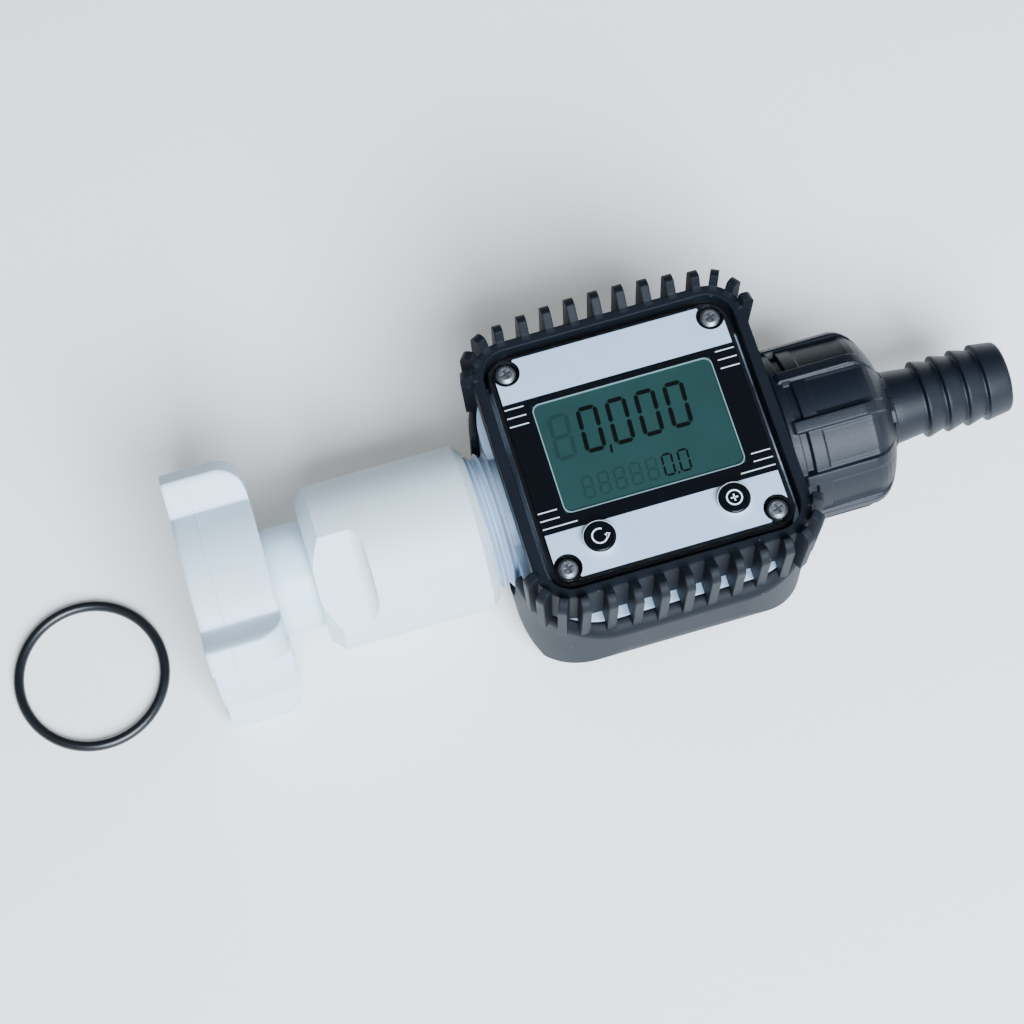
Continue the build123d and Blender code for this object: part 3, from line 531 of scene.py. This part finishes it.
# %% Union nut surface
UNION_LEFT = 34.3
UNION_END = 62.9
RIB_COUNT = 10
RIB_TURN = math.radians(16)
RIB_HALF_WIDTH = 1.4
PANEL_START = 42.1
PANEL_DEPTH = 0.3
UNION_BORE = 15.3
UNION_THREAD_BORE = 16.8     # the outlet stub's thread turns in this part
UNION_LIP_BORE = 9.3         # the lip that holds the hose tail
THREAD_BORE_END = 54.2
BORE_START = 54.6
LIP_START = 58.3
BASE_X = (34.3, 34.6, 36.6, 36.8, 38.5, 38.8, 54.4, 55.9, 57.4, 58.6, 59.7, 60.5, 61.0, 61.3, 61.4, 62.7,
          62.9)
BASE_R = (20.9, 21.2, 21.2, 19.8, 19.8, 21.2, 20.9, 20.35, 19.2, 17.8, 16.0, 14.1, 12.5, 11.6, 9.6, 9.6,
          9.4)
CREST_X = (34.3, 35.3, 36.1, 53.2, 54.8, 56.2, 57.4, 58.6, 59.6, 60.3, 62.9)
CREST_R = (15.0, 21.0, 22.0, 22.0, 21.6, 20.8, 19.7, 18.1, 16.3, 14.4, 8.0)


def union_outside(x, angle):
    """Base profile, plus the crest's height over it near a rib, less the panel's depth between two ribs."""
    step = 2 * math.pi / RIB_COUNT
    off = np.abs((angle - RIB_TURN + step / 2) % step - step / 2)
    base = np.interp(x, BASE_X, BASE_R)
    crest = np.maximum(np.interp(x, CREST_X, CREST_R), base)
    near = 1 - smoothstep(off * base, RIB_HALF_WIDTH - 0.15, RIB_HALF_WIDTH + 0.25)
    recess = smoothstep(off * base, RIB_HALF_WIDTH + 0.4, RIB_HALF_WIDTH + 1.2)
    recess = recess * smoothstep(x, PANEL_START - 0.15, PANEL_START + 0.25) * (1 - smoothstep(x, 53.0, 58.0))
    return base + (crest - base) * near - PANEL_DEPTH * recess * (1 - near)


even_rows = np.linspace(UNION_LEFT, UNION_END, 80)
panel_rows = PANEL_START + np.linspace(-0.3, 0.4, 8)
rows = np.unique(np.concatenate([np.array(BASE_X), even_rows, panel_rows]))
angle = np.linspace(0, 2 * math.pi, TURN_COUNT, endpoint=False)[None, :]
outside = around(rows[:, None], union_outside(rows[:, None], angle), angle)
ends = [(UNION_END, UNION_LIP_BORE + 0.05), (UNION_END - 0.1, UNION_LIP_BORE), (LIP_START, UNION_LIP_BORE),
        (LIP_START, UNION_BORE), (BORE_START, UNION_BORE), (THREAD_BORE_END, UNION_THREAD_BORE),
        (UNION_LEFT + 0.3, UNION_THREAD_BORE), (UNION_LEFT, UNION_THREAD_BORE + 0.3)]
wall = np.concatenate([around(x, np.full_like(angle, radius), angle) for x, radius in ends])
union = grid_piece("union_nut_moulding", np.concatenate([outside, wall]), close_rows=True)
finish_piece(union, "union", black_nylon)
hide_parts("union_nut")

# %% [markdown]
# ## Hose tail
# A hose is pushed over four sharp ridges that keep it from sliding off. Each ridge is steep towards the nut
# and slopes down towards the tip. The piece is made from one closed profile, whose corners are eased. The
# list of eases has one number for each corner.

# %% Hose tail profile
BARB_COUNT = 4
BARB_FIRST = 71.1
BARB_PITCH = 5.05
BARB_CREST = 9.475
BARB_ROOT = 8.3
TAIL_BORE = 6.3
TAIL_LEFT = 55.5
TAIL_END = 92.4
FLANGE_RIGHT = 58.1
FLANGE_RADIUS = 14.7
SHANK_RADIUS = 9.0
NECK_RADIUS = 8.1            # just before the first barb
tail_corners = [(TAIL_LEFT, TAIL_BORE), (TAIL_LEFT, FLANGE_RADIUS), (FLANGE_RIGHT, FLANGE_RADIUS),
                (FLANGE_RIGHT, SHANK_RADIUS), (63.5, SHANK_RADIUS), (70.5, NECK_RADIUS),
                (70.75, NECK_RADIUS)]
tail_eases = [0.2, 0.3, 0.3, 0.6, 2.5, 0.6, 0.1]
for ridge in range(BARB_COUNT):
    at = BARB_FIRST + ridge * BARB_PITCH
    tail_corners += [(at, BARB_CREST), (at + 0.5, BARB_CREST - 0.055)]
    tail_eases += [0.15, 0.4]
    if ridge < BARB_COUNT - 1:
        tail_corners += [(at + BARB_PITCH - 0.6, BARB_ROOT), (at + BARB_PITCH - 0.35, BARB_ROOT)]
        tail_eases += [0.5, 0.1]
tail_corners += [(TAIL_END, 8.6), (TAIL_END, TAIL_BORE)]
tail_eases += [1.4, 0.5]
tail = lathe_piece("hose_tail_moulding", rounded(tail_corners, tail_eases, steps=6))
finish_piece(tail, "tail_piece", black_nylon)
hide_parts("hose_tail")

# %% [markdown]
# ## Loose seal
# The spare seal is a torus: a small circle carried round a large one. It lies flat on the surface.

# %% Loose seal torus
RING_CENTRE = (-139.0, -1.5)
RING_RADIUS = 17.8
RING_SECTION = 1.31
turn = np.linspace(0, 2 * math.pi, 160, endpoint=False)[:, None]
around_section = np.linspace(0, 2 * math.pi, 32, endpoint=False)[None, :]
reach = RING_RADIUS + RING_SECTION * np.cos(around_section)
ring_grid = np.stack(np.broadcast_arrays(
    RING_CENTRE[0] + reach * np.cos(turn), RING_CENTRE[1] + reach * np.sin(turn),
    RING_SECTION + RING_SECTION * np.sin(around_section)), axis=-1)
ring = grid_piece("loose_seal_ring", ring_grid, close_rows=True)
finish_piece(ring, "meter", seal_rubber)
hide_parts("loose_seal")

# %% [markdown]
# ## Printed face
# The film under the cover is black, with a silver band above and below the display and three short white
# lines at each corner of the black part. Ink has almost no thickness, so each print is a very thin flat
# piece. Its outline is a polygon, and round the screws it is cut back by an arc.

# %% Flat printed pieces
INK = 0.03                   # thickness of a printed piece


def flat_piece(name, outline, top):
    """Closed plate from an outline of (x, y) pairs in millimetres: the outline at two heights, capped."""
    outline = np.asarray(outline, float)
    low = np.column_stack([outline, np.full(len(outline), top - INK)])
    high = np.column_stack([outline, np.full(len(outline), top)])
    return grid_piece(name, np.stack([low, high]), caps=True, smooth=False)


def arc(centre, radius, start, end, count=14):
    """Points on a circle from one angle to another, in degrees."""
    angle = np.radians(np.linspace(start, end, count))
    return np.column_stack([centre[0] + radius * np.cos(angle), centre[1] + radius * np.sin(angle)])


PRINT_TOP = FACE - 0.03
PRINT_EDGE = 27.9
NOTCH = 3.35                 # the print stops at this radius round a screw
NOTCH_SIDE = 22.8            # and its far edge ends this far from the middle
SCREW = 25.0
BANDS = (("upper_band", 17.3, 1), ("lower_band", -16.2, -1))     # name, inner edge and side


def silver_band(name, inner_y, sign):
    """Band from inner_y to the edge, cut back round each screw. The sign is 1 above the display, else -1."""
    off_edge = PRINT_EDGE - SCREW
    off_side = NOTCH_SIDE - SCREW
    start = -math.degrees(math.acos(off_edge / NOTCH))
    end = -math.degrees(2 * math.pi - math.acos(off_side / NOTCH))
    right = arc((SCREW, SCREW), NOTCH, start, end) * np.array([1, sign])
    top = [[NOTCH_SIDE, sign * (PRINT_EDGE - 0.3)], [NOTCH_SIDE - 0.3, sign * PRINT_EDGE]]
    half = np.vstack([[PRINT_EDGE, inner_y], right, top])
    return flat_piece(name, np.vstack([half, half[::-1] * np.array([-1, 1])]), PRINT_TOP)


for name, inner_y, sign in BANDS:
    finish_piece(silver_band(name, inner_y, sign), "meter", film_silver)

LINE_ROWS = (16.0, 13.8, 11.6, -10.7, -12.7, -14.7)
LINE_HALF = 0.13
LINE_INNER = 23.3
LAST_LINE_INNER = 19.6       # the lowest line is longer
for order, y in enumerate(LINE_ROWS):
    inner = LAST_LINE_INNER if order == len(LINE_ROWS) - 1 else LINE_INNER
    low, high = y - LINE_HALF, y + LINE_HALF
    for side, side_name in ((-1, "left"), (1, "right")):
        left, right = sorted((side * inner, side * PRINT_EDGE))
        outline = [(left, low), (right, low), (right, high), (left, high)]
        line = flat_piece(f"print_line_{order}_{side_name}", outline, PRINT_TOP)
        finish_piece(line, "meter", film_white)
print("bands:", len(BANDS), "lines:", 2 * len(LINE_ROWS))

# %% [markdown]
# ## Digits
# A liquid crystal digit has seven segments with pointed ends, and the whole row leans a little. Segments
# that are on are almost black, and idle ones show faintly when the light is right. Each segment is a thin
# six-sided plate.

# %% Seven segment digits
LEAN = 0.057                 # sideways for each millimetre of height
SEGMENT_GAP = 0.12           # each end stops this far from its joint
DISPLAY_TOP = FACE - 0.37
SEGMENTS = {"a": (0, 1, 1, 1), "b": (1, 0.5, 1, 1), "c": (1, 0, 1, 0.5), "d": (0, 0, 1, 0),
            "e": (0, 0, 0, 0.5), "f": (0, 0.5, 0, 1), "g": (0, 0.5, 1, 0.5)}
ZERO = "abcdef"
EIGHT = "abcdefg"
LARGE_SIZE = (5.1, 11.6, 1.05)       # width, height and bar
LARGE_LEFT, LARGE_Y, LARGE_STEP = -12.85, 0.35, 7.0
LARGE_IDLE_LEFT = -19.85
SMALL_SIZE = (2.75, 5.6, 0.5)
SMALL_LEFT, SMALL_Y, SMALL_STEP = 2.9, -10.3, 3.85
SMALL_IDLE_LEFT = -16.35


def digit(name, left, bottom, size, lit, material):
    """Each lit segment runs between two of the digit's six joints, shortened a little, with pointed ends."""
    width, height, bar = size
    for letter in lit:
        x0, y0, x1, y1 = SEGMENTS[letter]
        start = np.array([x0 * (width - bar), y0 * (height - bar)]) + bar / 2
        end = np.array([x1 * (width - bar), y1 * (height - bar)]) + bar / 2
        along = (end - start) / np.linalg.norm(end - start)
        across = np.array([-along[1], along[0]]) * bar / 2
        start, end = start + along * SEGMENT_GAP, end - along * SEGMENT_GAP
        tip = along * bar / 2
        outline = np.array([start, start + tip - across, end - tip - across, end, end - tip + across,
                            start + tip + across])
        outline[:, 0] += left + LEAN * outline[:, 1]
        outline[:, 1] += bottom
        piece = flat_piece(f"{name}_{letter}", outline, DISPLAY_TOP)
        finish_piece(piece, "meter", material)


for order in range(4):
    left = LARGE_LEFT + LARGE_STEP * order
    digit(f"large_digit_{order}", left, LARGE_Y, LARGE_SIZE, ZERO, segment_black)
for order in range(2):
    left = SMALL_LEFT + SMALL_STEP * order
    digit(f"small_digit_{order}", left, SMALL_Y, SMALL_SIZE, ZERO, segment_black)
digit("idle_large_digit", LARGE_IDLE_LEFT, LARGE_Y, LARGE_SIZE, EIGHT, segment_ghost)
for order in range(5):
    left = SMALL_IDLE_LEFT + SMALL_STEP * order
    digit(f"idle_small_digit_{order}", left, SMALL_Y, SMALL_SIZE, EIGHT, segment_ghost)


def mark(name, x, y, width, height):
    """A short leaning bar, such as a decimal mark."""
    lean = LEAN * 2 * height
    outline = [(x, y), (x + width, y), (x + width + lean, y + height), (x + lean, y + height)]
    finish_piece(flat_piece(name, outline, DISPLAY_TOP), "meter", segment_black)


mark("large_decimal_mark", -7.35, -0.95, 0.55, 2.0)
mark("small_decimal_mark", 5.95, -10.35, 0.5, 0.5)

# %% [markdown]
# ## Window edge
# The display's window has eased corners and a thin pale edge, which is a painted highlight along its rim. It
# is a narrow frame: the same rounded outline at two sizes, joined.

# %% Window edge frame
WINDOW_OUTER = (21.8, 14.0, 2.0)     # half width, half height and corner radius
WINDOW_INNER = (21.55, 13.75, 1.8)
WINDOW_Y = 1.5


def rounded_box(half_x, half_y, corner):
    """Outline of the window's rectangle, with quarter circles of eight points at its corners."""
    parts = []
    for index, (sx, sy) in enumerate(((1, 1), (-1, 1), (-1, -1), (1, -1))):
        centre = (sx * (half_x - corner), WINDOW_Y + sy * (half_y - corner))
        parts.append(arc(centre, corner, 90 * index, 90 * index + 90, 8))
    return np.vstack(parts)


def frame_piece(name, outer, inner, bottom, top):
    """Ring of rectangular section between two outlines that have the same number of points."""
    levels = [(outer, bottom), (outer, top), (inner, top), (inner, bottom)]
    rows = [np.column_stack([outline, np.full(len(outline), z)]) for outline, z in levels]
    return grid_piece(name, np.stack(rows), close_rows=True, smooth=False)


edge = frame_piece("window_edge", rounded_box(*WINDOW_OUTER), rounded_box(*WINDOW_INNER),
                   FACE - 0.38, FACE - 0.02)
finish_piece(edge, "meter", painted_window_highlight)

# %% [markdown]
# ## Keys
# A key is a black disc in a hole of the clear cover. The hole's polished wall catches light and shows as a
# bright crescent on the near side, so a thin pale sleeve lines it as a painted highlight. On the cap is a
# plain
# white sign: a ring with a gap and an arrow head on the left key, and a cross in a ring on the right one.

# %% Key sleeves and signs
KEY_X = 16.05
KEY_Y = -20.3
SIGN_TOP = AXIS + 27.25 + 0.015      # just over the cap
SLEEVE_TOP = AXIS + 26.95
SLEEVE_OUTER = 3.88
SLEEVE_INNER = 3.8
SIGN_RADIUS = 1.75
SIGN_WIDTH = 0.34
BAR_LENGTH = 1.7
ARROW_HEAD = ((1.1, 0.1), (2.5, 0.1), (1.75, -1.0))
# Painted highlight: a pale colour for the lit wall of each key's hole.
painted_highlight_sleeve = printed("painted_highlight_sleeve", "#e6eef5", "#f2f6fa", 0.25, 0.0, 0.3, 0.002)


def turn_points(points, angle):
    """Points (x, y) turned about the origin by an angle in degrees: x cos - y sin and x sin + y cos."""
    turn = math.radians(angle)
    return points @ np.array([[math.cos(turn), math.sin(turn)], [-math.sin(turn), math.cos(turn)]])


def circle(centre, radius, count=72):
    """Points all round a circle."""
    return arc(centre, radius, 0, 360 * (count - 1) / count, count)


def band_arc(name, centre, start, end):
    """Flat strip of the sign's width along an arc: the outer arc one way and the inner arc back."""
    outer = arc(centre, SIGN_RADIUS + SIGN_WIDTH / 2, start, end, 32)
    inner = arc(centre, SIGN_RADIUS - SIGN_WIDTH / 2, start, end, 32)[::-1]
    return flat_piece(name, np.vstack([outer, inner]), SIGN_TOP)


def bar(name, centre, angle):
    """Flat strip of the bar's length and the sign's width, at an angle about its centre."""
    corners = np.array([(-BAR_LENGTH, -SIGN_WIDTH), (BAR_LENGTH, -SIGN_WIDTH), (BAR_LENGTH, SIGN_WIDTH),
                        (-BAR_LENGTH, SIGN_WIDTH)]) / 2
    return flat_piece(name, turn_points(corners, angle) + np.asarray(centre), SIGN_TOP)


for side, body in ((-1, "left_button"), (1, "right_button")):
    centre = (side * KEY_X, KEY_Y)
    sleeve = frame_piece(f"{body}_sleeve", circle(centre, SLEEVE_OUTER), circle(centre, SLEEVE_INNER),
                         FACE + 0.02, SLEEVE_TOP)
    finish_piece(sleeve, "meter", painted_highlight_sleeve)
    if side < 0:
        signs = [band_arc(f"{body}_ring", centre, 60, 370)]
        signs.append(flat_piece(f"{body}_arrow", np.array(ARROW_HEAD) + centre, SIGN_TOP))
    else:
        signs = [band_arc(f"{body}_ring", centre, 0, 359)]
        signs += [bar(f"{body}_bar_{turn}", centre, turn) for turn in (0, 90)]
    for sign in signs:
        finish_piece(sign, body, film_white)
    print(body, "carries", len(signs), "sign pieces")

# %% [markdown]
# ## Cross recesses of the screws
# The slots of each pan head are cut in the solid, but bright plating on their walls hides them. A thin dark
# cross lies in the slots, a little below their rim, as painted shade for the shadow in the recess. Its
# outline is one arm's three corners, set at four right angles.

# %% Recess crosses
SCREW_TOP = AXIS + 25.45
RECESS_DEPTH = 0.2
RECESS_TURN = 20
ARM_HALF = 1.17
ARM_SIDE = 0.26
# Painted shade: a dark grey for the shadow inside each cross recess.
painted_recess_shade = printed("painted_recess_shade", "#26282b", "#33363a", 0.7, 0.0, 0.15, 0.01)
arm = np.array([(ARM_HALF, -ARM_SIDE), (ARM_HALF, ARM_SIDE), (ARM_SIDE, ARM_SIDE)])
cross = np.vstack([turn_points(arm, RECESS_TURN + quarter) for quarter in (0, 90, 180, 270)])
for side_x, name_x in ((-1, "left"), (1, "right")):
    for side_y, name_y in ((-1, "lower"), (1, "upper")):
        spot = (side_x * SCREW, side_y * SCREW)
        recess = flat_piece(f"screw_recess_{name_y}_{name_x}", cross + spot, SCREW_TOP - RECESS_DEPTH)
        finish_piece(recess, "meter", painted_recess_shade)
print("recess crosses have", len(cross), "corners each")

# %% [markdown]
# ## Floor
# The meter lies on a milky light table: a white sheet that scatters light and glows a little from below.

# %% Floor
FLOOR_HALF = 3.0
GLOW = 0.18
floor_corners = [(-FLOOR_HALF, -FLOOR_HALF, 0), (FLOOR_HALF, -FLOOR_HALF, 0), (FLOOR_HALF, FLOOR_HALF, 0),
                 (-FLOOR_HALF, FLOOR_HALF, 0)]
floor_mesh = bpy.data.meshes.new("floor")
floor_mesh.from_pydata(floor_corners, [], [(0, 1, 2, 3)])
floor = bpy.data.objects.new("floor", floor_mesh)
bpy.context.scene.collection.objects.link(floor)
floor_material, tree, place, output = new_material("light_table_acrylic")
milky = add(tree, "ShaderNodeBsdfDiffuse", {"Color": hex_colour("#fbf9f5")})
glow = add(tree, "ShaderNodeEmission", {"Color": hex_colour("#fffdf8"), "Strength": GLOW})
table = add(tree, "ShaderNodeAddShader", {0: milky.outputs[0], 1: glow.outputs[0]})
tree.links.new(table.outputs[0], output.inputs["Surface"])
floor_mesh.materials.append(floor_material)
print("floor", 2 * FLOOR_HALF, "m wide")

# %% [markdown]
# ## Light
# The light is soft and cool. One large panel stands high on the near side, like a window, and two weak ones
# on the left and the right lift the ends. An area light shines along its own minus Z, so its Z axis is
# turned away from the meter. The air round it all is a faint even blue grey.

# %% Light
TARGET = (0, 0, 0.03)                # the middle of the meter
AIR_STRENGTH = 0.1
# name, place in metres, side in metres, power in watts, colour
PANELS = (("near_panel", (0.1, -0.98, 1.0), 0.9, 76.0, "#e3f0ff"),
          ("left_panel", (-1.0, 0.0, 0.75), 0.7, 1.0, "#e2edff"),
          ("right_panel", (1.0, 0.0, 0.6), 0.6, 3.0, "#e2edff"))


def stand(thing, axes, place):
    """Put a lamp or camera at a place in metres, its own X, Y and Z along the three columns of axes."""
    rows = [[*row, where] for row, where in zip(axes.tolist(), place)]
    thing.matrix_world = Matrix(rows + [[0, 0, 0, 1]])


def panel_light(name, place, size, power, colour):
    """Square area light at a place in metres, turned towards the target."""
    light = bpy.data.lights.new(name, "AREA")
    light.shape = "SQUARE"
    light.size = size
    light.energy = power
    light.color = hex_colour(colour)[:3]
    lamp = bpy.data.objects.new(name, light)
    bpy.context.scene.collection.objects.link(lamp)
    back = np.array(place, float) - np.array(TARGET, float)
    back = back / np.linalg.norm(back)
    right = np.cross([0.0, 0.01, 1.0], back)
    right = right / np.linalg.norm(right)
    up = np.cross(back, right)
    stand(lamp, np.column_stack([right, up, back]), place)


for panel in PANELS:
    panel_light(*panel)
world = bpy.data.worlds.new("studio_air")
world.use_nodes = True
air = world.node_tree.nodes["Background"]
air.inputs["Color"].default_value = hex_colour("#e9f0fa")
air.inputs["Strength"].default_value = AIR_STRENGTH
bpy.context.scene.world = world
print("panels:", len(PANELS))

# %% [markdown]
# ## Camera
# The camera stands where the photograph was taken from, worked out from the sizes of the face. A lens's
# focal length over its sensor's width is the same as the focal length in pixels over the picture's width.

# %% Camera
CAMERA_PLACE = np.array([-83.02, -211.61, 591.07 + AXIS]) * MM
CAMERA_RIGHT = np.array([0.9585, -0.2844, -0.0180])
CAMERA_DOWN = np.array([-0.2728, -0.8975, -0.3465])
CAMERA_FORWARD = np.array([0.0824, 0.3370, -0.9379])
FOCAL_PIXELS = 2640
PICTURE_PIXELS = 1024
SENSOR_WIDTH = 36.0
camera_data = bpy.data.cameras.new("camera")
camera_data.sensor_width = SENSOR_WIDTH
camera_data.lens = FOCAL_PIXELS / PICTURE_PIXELS * SENSOR_WIDTH
camera = bpy.data.objects.new("camera", camera_data)
bpy.context.scene.collection.objects.link(camera)
stand(camera, np.column_stack([CAMERA_RIGHT, -CAMERA_DOWN, -CAMERA_FORWARD]), CAMERA_PLACE.tolist())
bpy.context.scene.camera = camera
print("camera lens", round(camera_data.lens, 1), "mm")
